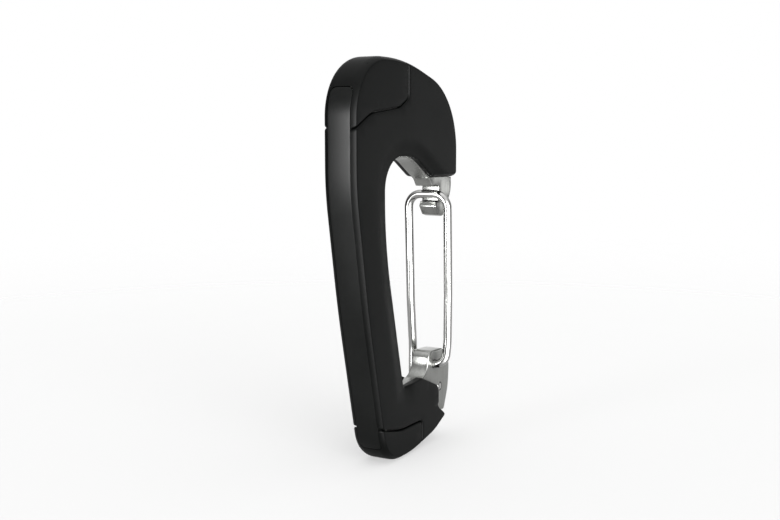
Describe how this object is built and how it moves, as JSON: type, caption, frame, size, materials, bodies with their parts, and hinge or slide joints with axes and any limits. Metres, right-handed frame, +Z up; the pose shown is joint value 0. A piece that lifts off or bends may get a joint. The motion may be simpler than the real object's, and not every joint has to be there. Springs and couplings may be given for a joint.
{
  "type": "carabiner keyring",
  "caption": "Carabiner keyring: moulded covers over a steel plate, a sprung wire gate, and a flat charging lead in the spine whose plugs stow in the head and foot.",
  "frame": {"origin": "middle of the object's box in X and Y, at the height of its lowest point", "axes": "+X from the spine towards the gate, +Y through the thickness, from the side where the gate wire turns in the plate to the side where its far end is fixed, +Z up along the length, from the foot to the head"},
  "size_m": [0.0538, 0.0142, 0.1023],
  "materials": {
    "cover_plastic": "satin, near black, fine moulded texture",
    "plate_steel": "satin ground steel with softly broken edges",
    "wire_steel": "polished spring steel wire",
    "lead_rubber": "satin dark grey elastomer",
    "plug_plastic": "matt moulded, dark grey",
    "plug_shell_metal": "nickel plated, finely brushed",
    "tongue_white": "matt moulded, off white",
    "tongue_black": "matt moulded, black",
    "contact_gold": "gold plated",
    "crimp_metal": "dull",
    "spring_leaf": "dull spring strip",
    "insulation_red": "satin",
    "insulation_black": "satin",
    "insulation_green": "satin",
    "insulation_white": "satin"
  },
  "bodies": {
    "frame": {"core_plate": "plate_steel", "front_cover": "cover_plastic", "rear_cover": "cover_plastic", "gate_tail": "wire_steel", "lead_jacket": "lead_rubber", "wire_power": "insulation_red", "wire_ground": "insulation_black", "wire_data_plus": "insulation_green", "wire_data_minus": "insulation_white", "head_grip_spring": "spring_leaf", "foot_grip_spring": "spring_leaf"},
    "gate": {"gate_wire": "wire_steel"},
    "head_plug": {"head_cap": "cover_plastic", "head_plug_body": "plug_plastic", "type_a_shell": "plug_shell_metal", "type_a_tongue": "tongue_white", "type_a_contacts": "contact_gold", "head_crimp": "crimp_metal", "head_lead_end": "lead_rubber"},
    "foot_plug": {"foot_cap": "cover_plastic", "foot_plug_body": "plug_plastic", "foot_plug_shell": "plug_shell_metal", "foot_plug_tongue": "tongue_black", "foot_plug_contacts": "contact_gold", "foot_plug_hooks": "plug_shell_metal", "foot_crimp": "crimp_metal", "foot_lead_end": "lead_rubber"}
  },
  "joints": [
    {"name": "gate_hinge", "type": "hinge", "parent": "frame", "child": "gate", "pos_m": [0.01705, 0, 0.0209], "axis": [0, -1, 0], "range_deg": [0, 30], "stiffness_Nm_per_rad": 0.2, "springref_deg": -8.59},
    {"name": "head_plug_slide", "type": "slide", "parent": "frame", "child": "head_plug", "axis": [-1, 0, 0], "range_m": [0, 0.013], "deforming": ["wire_power", "wire_ground", "wire_data_plus", "wire_data_minus"]},
    {"name": "foot_plug_slide", "type": "slide", "parent": "frame", "child": "foot_plug", "axis": [-1, 0, 0], "range_m": [0, 0.0075]}
  ]
}
